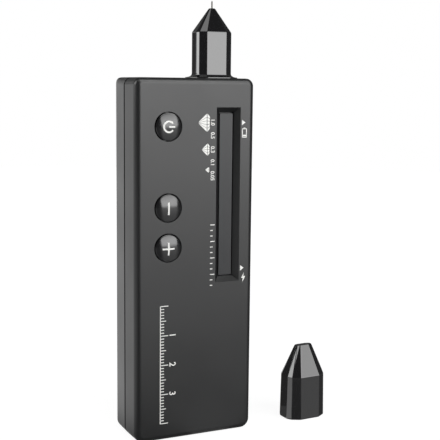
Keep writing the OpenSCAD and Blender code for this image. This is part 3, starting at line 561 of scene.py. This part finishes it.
lengthScale = {"x": -12.6, "top": 46.0, "cells": 40, "short": 1.3, "middle": 2.0, "long": 2.8, "width": 0.28,
               "past": 0.11, "numberGap": 0.5, "numberRise": 0.85, "numberHeight": 2.2}
centimetre, halfCentimetre = 10, 5
ticks = barOutlines(lengthScale["x"], lengthScale["top"] + lengthScale["past"], lengthScale["x"],
                    lengthScale["top"] - lengthScale["cells"] - lengthScale["past"], lengthScale["width"], 1)
for i in range(lengthScale["cells"] + 1):
    z = lengthScale["top"] - i
    reach = lengthScale["short" if i % halfCentimetre else "middle" if i % centimetre else "long"]
    ticks += barOutlines(lengthScale["x"], z, lengthScale["x"] + reach, z, lengthScale["width"], 1)
makeMark("lengthScale", "body", ticks, onFront)

# a battery outline under the upper pointer and a charging bolt under the lower one
batterySet = {"x": 17.45, "low": 101.2, "high": 104.0, "width": 1.5, "line": 0.28,
              "knob": 0.4, "knobWidth": 0.7, "charge": 0.55, "chargeWidth": 0.5}
left, right = batterySet["x"] - batterySet["width"] / 2, batterySet["x"] + batterySet["width"] / 2
low, high, line = batterySet["low"], batterySet["high"], batterySet["line"]
knobTop, chargeHeight = high + batterySet["knob"], low + batterySet["charge"]
batteryMark = (barOutlines(left, high, left, low, line, 1) + barOutlines(right, high, right, low, line, 1)
               + barOutlines(left - line / 2, high, right + line / 2, high, line, 1)
               + barOutlines(left - line / 2, low, right + line / 2, low, line, 1)
               + barOutlines(batterySet["x"], high, batterySet["x"], knobTop, batterySet["knobWidth"], 1)
               + barOutlines(left, chargeHeight, right, chargeHeight, batterySet["chargeWidth"], 1))
boltMark = [[(16.95, 53.4), (17.95, 55.4), (17.75, 53.9)], [(17.65, 54.0), (18.45, 54.0), (17.4, 52.0)],
            [(16.95, 53.4), (17.75, 53.9), (17.65, 53.4)]]
makeMark("batteryMark", "body", batteryMark, onFront)
makeMark("boltMark", "body", boltMark, onFront)


figures = {"share": 0.7, "weight": 0.03}  # a figure's height as a share of the font's size, and what thickens it


def makeNumber(pieceName, text, x, z, height):
    # figures turned to read downwards: their right is down and their top points right
    curve = bpy.data.curves.new(pieceName, "FONT")
    curve.body = text
    curve.size = height / figures["share"]
    curve.offset = figures["weight"]
    holder = addObject(pieceName + "Text", curve)
    bpy.context.view_layer.update()
    mesh = bpy.data.meshes.new_from_object(holder)
    bpy.data.objects.remove(holder)
    for vertex in mesh.vertices:
        vertex.co = onFront(x + vertex.co.y, z - vertex.co.x)
    mesh.materials.clear()
    mesh.materials.append(whiteInk)
    piece = addObject(pieceName, mesh)
    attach(piece, "body")


stoneNumbers = {"x": 5.2, "height": 1.3,
                "at": [("1.0", 107.4), ("0.5", 103.0), ("0.3", 98.4), ("0.1", 94.1), ("0.05", 90.2)]}
for i, (text, z) in enumerate(stoneNumbers["at"]):
    makeNumber("stoneNumber" + str(i), text, stoneNumbers["x"], z, stoneNumbers["height"])
numberX = lengthScale["x"] + lengthScale["long"] + lengthScale["numberGap"]
for i in range(1, lengthScale["cells"] // centimetre):
    z = lengthScale["top"] - centimetre * i + lengthScale["numberRise"]
    makeNumber("lengthNumber" + str(i), str(i), numberX, z, lengthScale["numberHeight"])
print("marks printed")


# camera at the photograph's place

cameraSet = {"place": (-131.904, -305.434, 118.062), "yaw": 0.4463476, "pitch": -0.1352849, "roll": 0.0103293,
             "lens": 80.56, "sensor": 36.0, "near": 0.01, "far": 20}  # place and lens in mm, angles in radians
yaw, pitch, roll = cameraSet["yaw"], cameraSet["pitch"], cameraSet["roll"]
ahead = Vector((math.sin(yaw) * math.cos(pitch), math.cos(yaw) * math.cos(pitch), math.sin(pitch)))
level = Vector((math.cos(yaw), -math.sin(yaw), 0))
upright = level.cross(ahead)
right = level * math.cos(roll) + upright * math.sin(roll)
up = upright * math.cos(roll) - level * math.sin(roll)
cameraData = bpy.data.cameras.new("camera")
cameraData.lens = cameraSet["lens"]
cameraData.sensor_width = cameraSet["sensor"]
cameraData.clip_start = cameraSet["near"]
cameraData.clip_end = cameraSet["far"]
camera = addObject("camera", cameraData)
axes = Matrix((right, up, -ahead)).transposed().to_4x4()
camera.matrix_world = Matrix.Translation(Vector(cameraSet["place"]) * mm) @ axes
bpy.context.scene.camera = camera


# room: a white backdrop band behind, a dim room elsewhere, soft light panels and small light and dark cards

def seenRays(tree):
    # 1 on camera, glossy and transmission rays, which see the surroundings, and 1 on camera rays alone
    path = addNode(tree, "ShaderNodeLightPath").outputs
    mirrored = addNode(tree, "ShaderNodeMath", {"operation": "MAXIMUM"},
                       {0: path["Is Glossy Ray"], 1: path["Is Transmission Ray"]}).outputs[0]
    seen = addNode(tree, "ShaderNodeMath", {"operation": "MAXIMUM"}, {0: path["Is Camera Ray"], 1: mirrored})
    return seen.outputs[0], path["Is Camera Ray"]


# fill is what diffuse rays see; gloss sees front, or the backdrop's band with a share of it under and over it, and
# nowhere less than least
roomSet = {
    "fill": 0.15, "front": 0.1, "under": 0.05, "band": 1.0, "over": 0.13, "least": 0.1,
    "side": (-0.643, 0.766, 0), "sideFrom": 0.5, "sideTo": 0.75,  # the backdrop's direction, and where it sets in
    "groundFrom": -0.1, "groundTo": 0.02, "topFrom": 0.2, "topTo": 0.34,  # it ends 12 to 20 degrees up
}
world = bpy.data.worlds.new("room")
bpy.context.scene.world = world
world.use_nodes = True
tree = world.node_tree
tree.nodes.clear()
rays, fromCamera = seenRays(tree)
way = addNode(tree, "ShaderNodeTexCoord").outputs["Generated"]
height = addNode(tree, "ShaderNodeSeparateXYZ", links={"Vector": way}).outputs["Z"]
towards = addNode(tree, "ShaderNodeVectorMath", {"operation": "DOT_PRODUCT", 1: roomSet["side"]}, {0: way})
behind = addNode(tree, "ShaderNodeMapRange",
                 {"From Min": roomSet["sideFrom"], "From Max": roomSet["sideTo"],
                  "To Min": roomSet["front"], "To Max": roomSet["band"]}, {"Value": towards.outputs["Value"]})
above = addNode(tree, "ShaderNodeMapRange",
                {"From Min": roomSet["groundFrom"], "From Max": roomSet["groundTo"], "To Min": roomSet["under"]},
                {"Value": height})
below = addNode(tree, "ShaderNodeMapRange",
                {"From Min": roomSet["topFrom"], "From Max": roomSet["topTo"],
                 "To Min": 1.0, "To Max": roomSet["over"]}, {"Value": height})
strip = addNode(tree, "ShaderNodeMath", {"operation": "MULTIPLY"}, {0: above.outputs[0], 1: below.outputs[0]})
shown = addNode(tree, "ShaderNodeMath", {"operation": "MULTIPLY"}, {0: behind.outputs[0], 1: strip.outputs[0]})
least = addNode(tree, "ShaderNodeMath", {"operation": "MAXIMUM", 1: roomSet["least"]}, {0: shown.outputs[0]})
toGlossy = addNode(tree, "ShaderNodeMix", {"data_type": "FLOAT", 2: roomSet["fill"]}, {0: rays, 3: least.outputs[0]})
toCamera = addNode(tree, "ShaderNodeMix", {"data_type": "FLOAT", 3: 1.0}, {0: fromCamera, 2: toGlossy.outputs[0]})
background = addNode(tree, "ShaderNodeBackground", {"Color": plainWhite}, {"Strength": toCamera.outputs[0]})
addNode(tree, "ShaderNodeOutputWorld", links={"Surface": background.outputs["Background"]})


def makePlate(name, corners, material, hidden=()):
    # a flat piece of the room, left out for the kinds of ray that are named as hidden
    mesh = bpy.data.meshes.new(name)
    mesh.from_pydata(corners, [], [list(range(len(corners)))])
    mesh.materials.append(material)
    plate = addObject(name, mesh)
    for kind in hidden:
        setattr(plate, "visible_" + kind, False)


# matt seamless paper: the camera sees it white with a faint shadow, gloss sees it dim with a lane lit by the
# front panel and a lit part at the rear; lengths and distances in metres
floorSet = {
    "radius": 1.1, "sides": 96, "drop": 0.0002, "white": "#e8e8e8", "shade": 0.2,
    "near": 0.93, "nearFrom": 0.14, "nearTo": 0.45,
    "ahead": (0.384, -0.923, 0), "laneFrom": 0.84, "laneTo": 0.92, "laneNear": 0.42, "laneFar": 1.08, "laneReach": 0.36,
    "dim": 0.2, "rear": 0.85, "rearFrom": 0.005, "rearTo": 0.04,
}
floorPaint, tree = clearMaterial("paper_sweep_white")
rays, fromCamera = seenRays(tree)
matt = addNode(tree, "ShaderNodeBsdfDiffuse", {"Color": hexToLinear(floorSet["white"])})
shade = addNode(tree, "ShaderNodeBsdfDiffuse", {"Color": (floorSet["shade"],) * 3 + (1,)})
place = addNode(tree, "ShaderNodeTexCoord").outputs["Object"]
away = addNode(tree, "ShaderNodeVectorMath", {"operation": "LENGTH"}, {0: place}).outputs["Value"]
white = addNode(tree, "ShaderNodeMapRange",
                {"From Min": floorSet["nearFrom"], "From Max": floorSet["nearTo"], "To Min": floorSet["near"]},
                {"Value": away})
paper = addNode(tree, "ShaderNodeEmission", {"Color": plainWhite}, {"Strength": white.outputs[0]})
seen = addNode(tree, "ShaderNodeAddShader", links={0: shade.outputs[0], 1: paper.outputs[0]})
onward = addNode(tree, "ShaderNodeVectorMath", {"operation": "NORMALIZE"}, {0: place}).outputs["Vector"]
ahead = addNode(tree, "ShaderNodeVectorMath", {"operation": "DOT_PRODUCT", 1: floorSet["ahead"]}, {0: onward})
lane = addNode(tree, "ShaderNodeMapRange", {"From Min": floorSet["laneFrom"], "From Max": floorSet["laneTo"]},
               {"Value": ahead.outputs["Value"]})
outward = addNode(tree, "ShaderNodeMapRange",
                  {"From Min": 0.0, "From Max": floorSet["laneReach"],
                   "To Min": floorSet["laneNear"], "To Max": floorSet["laneFar"]}, {"Value": away})
laneGlow = addNode(tree, "ShaderNodeMath", {"operation": "MULTIPLY"}, {0: lane.outputs[0], 1: outward.outputs[0]})
rear = addNode(tree, "ShaderNodeVectorMath", {"operation": "DOT_PRODUCT", 1: roomSet["side"]}, {0: place})
rearGlow = addNode(tree, "ShaderNodeMapRange",
                   {"From Min": floorSet["rearFrom"], "From Max": floorSet["rearTo"],
                    "To Min": floorSet["dim"], "To Max": floorSet["rear"]}, {"Value": rear.outputs["Value"]})
glow = addNode(tree, "ShaderNodeMath", {"operation": "MAXIMUM"}, {0: laneGlow.outputs[0], 1: rearGlow.outputs[0]})
lit = addNode(tree, "ShaderNodeEmission", {"Color": plainWhite}, {"Strength": glow.outputs[0]})
toCamera = addNode(tree, "ShaderNodeMixShader", links={0: fromCamera, 1: lit.outputs[0], 2: seen.outputs[0]})
choice = addNode(tree, "ShaderNodeMixShader", links={0: rays, 1: matt.outputs[0], 2: toCamera.outputs[0]})
addNode(tree, "ShaderNodeOutputMaterial", links={"Surface": choice.outputs[0]})
ring = [(floorSet["radius"] * math.cos(a), floorSet["radius"] * math.sin(a), -floorSet["drop"])
        for a in anglesAround(floorSet["sides"])]
makePlate("floor", ring, floorPaint)


aim = Vector((0, 0, 0.09))  # the point that every panel faces


def facing(azimuth, elevation, distance):
    # the middle of a panel and the directions of its width and its height
    a, e = math.radians(azimuth), math.radians(elevation)
    out = Vector((-math.sin(a) * math.cos(e), -math.cos(a) * math.cos(e), math.sin(e)))
    across = Vector((math.cos(a), -math.sin(a), 0))
    return aim + out * distance, across, out.cross(across)


def makePanel(name, panel):
    # a soft light at an azimuth from the front, positive to the left, and an elevation, spread in degrees; over
    # the share fade of its height it changes from lower to upper, and a crown dims it again towards its top
    centre, across, upward = facing(panel["azimuth"], panel["elevation"], panel["distance"])
    wide = across * panel["distance"] * math.tan(math.radians(panel["width"] / 2))
    tall = upward * panel["distance"] * math.tan(math.radians(panel["height"] / 2))
    half = tall.length
    light, tree = clearMaterial(name + "_light")
    glow = addNode(tree, "ShaderNodeEmission", {"Color": plainWhite, "Strength": panel["upper"]})
    if "fade" in panel:
        spot = addNode(tree, "ShaderNodeTexCoord").outputs["Object"]
        offset = addNode(tree, "ShaderNodeVectorMath", {"operation": "SUBTRACT", 1: centre}, {0: spot})
        rise = addNode(tree, "ShaderNodeVectorMath", {"operation": "DOT_PRODUCT", 1: upward},
                       {0: offset.outputs["Vector"]}).outputs["Value"]
        strength = addNode(tree, "ShaderNodeMapRange",
                           {"From Min": -half, "From Max": -half + 2 * half * panel["fade"],
                            "To Min": panel["lower"], "To Max": panel["upper"]}, {"Value": rise}).outputs[0]
        if "crown" in panel:
            crown = addNode(tree, "ShaderNodeMapRange",
                            {"From Min": half * panel["crownFrom"], "From Max": half,
                             "To Min": 1.0, "To Max": panel["crown"]}, {"Value": rise}).outputs[0]
            strength = addNode(tree, "ShaderNodeMath", {"operation": "MULTIPLY"}, {0: strength, 1: crown}).outputs[0]
        tree.links.new(strength, glow.inputs["Strength"])
    addNode(tree, "ShaderNodeOutputMaterial", links={"Surface": glow.outputs[0]})
    corners = [centre - wide - tall, centre + wide - tall, centre + wide + tall, centre - wide + tall]
    makePlate(name, corners, light, ["camera"] + panel.get("hidden", []))


panels = {
    "frontPanel": {"azimuth": -22.6, "elevation": 17, "distance": 0.95, "width": 55, "height": 44,
                   "lower": 1.6, "upper": 4.8, "fade": 0.16, "crownFrom": -0.1, "crown": 0.5},
    "sidePanel": {"azimuth": 87, "elevation": 15, "distance": 0.8, "width": 25, "height": 36,
                  "lower": 6.5, "upper": 4.5, "fade": 1.0, "hidden": ["glossy"]},
    "crownPanel": {"azimuth": 42, "elevation": 64, "distance": 0.8, "width": 26, "height": 16, "upper": 1.8},
    "topPanel": {"azimuth": 180, "elevation": 88, "distance": 0.8, "width": 34, "height": 30, "upper": 0.4},
    "rearCard": {"azimuth": 156, "elevation": 6, "distance": 0.4, "width": 18, "height": 20,
                 "upper": 0.1, "hidden": ["diffuse", "shadow"]},
}
for name, panel in panels.items():
    makePanel(name, panel)


def makeCard(name, card):
    # a small card near the object, seen in gloss only and from its lit side only: corners in mm and its light
    light, tree = clearMaterial(name + "_light")
    glow = addNode(tree, "ShaderNodeEmission", {"Color": plainWhite, "Strength": card["light"]})
    clear = addNode(tree, "ShaderNodeBsdfTransparent")
    backSide = addNode(tree, "ShaderNodeNewGeometry").outputs["Backfacing"]
    sided = addNode(tree, "ShaderNodeMixShader", links={0: backSide, 1: glow.outputs[0], 2: clear.outputs[0]})
    addNode(tree, "ShaderNodeOutputMaterial", links={"Surface": sided.outputs[0]})
    corners = [Vector(corner) * mm for corner in card["corners"]]
    makePlate(name, corners, light, ["camera", "diffuse", "shadow"])


# the first seven each serve one facet of the cap, sideCard the body's left side, probeCard a facet of the probe,
# browCard the rounding at the body's top
cards = {
    "capFloorCard": {"corners": [(40.8, -12.9, 0), (70, -62, 0), (80, -68, 0), (88, -60, 0), (49.3, -12.6, 0)],
                     "light": 0.6},
    "capRearCard": {"corners": [(24.5, 0.4, 0), (38.5, 11.4, 0), (38.5, 11.4, 45), (24.5, 0.4, 45)], "light": 0.1},
    "capLowCard": {"corners": [(37, -12, 0), (37, -8.8, 0), (24, -8.8, 13.5), (24, -13.8, 13.5)], "light": 1.25},
    "capShadeCard": {"corners": [(37.4, -11.0, 0), (11, -63.5, 0), (19, -69, 0), (41.7, -13.0, 0)], "light": 0.17},
    "capFaceCard": {"corners": [(60.9, -27, 21.9), (45.2, -17.8, 17.7), (55, -23.5, 34.5), (63, -28.2, 36.8)],
                    "light": 3.2},
    "capEdgeCard": {"corners": [(49.0, -12.2, 0), (108, -9, 0), (108, 0, 0), (51.9, -10.2, 0)], "light": 0.1},
    "capHighCard": {"corners": [(28, -12.6, 18), (28, -9, 18), (28, -7.7, 34.5), (28, -9.6, 34.5)], "light": 4.5},
    "sideCard": {"corners": [(-112, 7.2, 0), (-21.4, 51.1, 0), (-21.4, 51.1, 125), (-112, 7.2, 125)], "light": 1.0},
    "probeCard": {"corners": [(-60, -8, 121.5), (-60, 10, 121.5), (-60, 10, 165), (-60, -8, 165)], "light": 5.5},
    "browCard": {"corners": [(-32, -20, 141), (36, -20, 141), (62, -60, 166), (-20, -60, 166)], "light": 4.6},
}
for name, card in cards.items():
    makeCard(name, card)

bpy.context.scene.view_settings.view_transform = "Standard"
print("room lit")
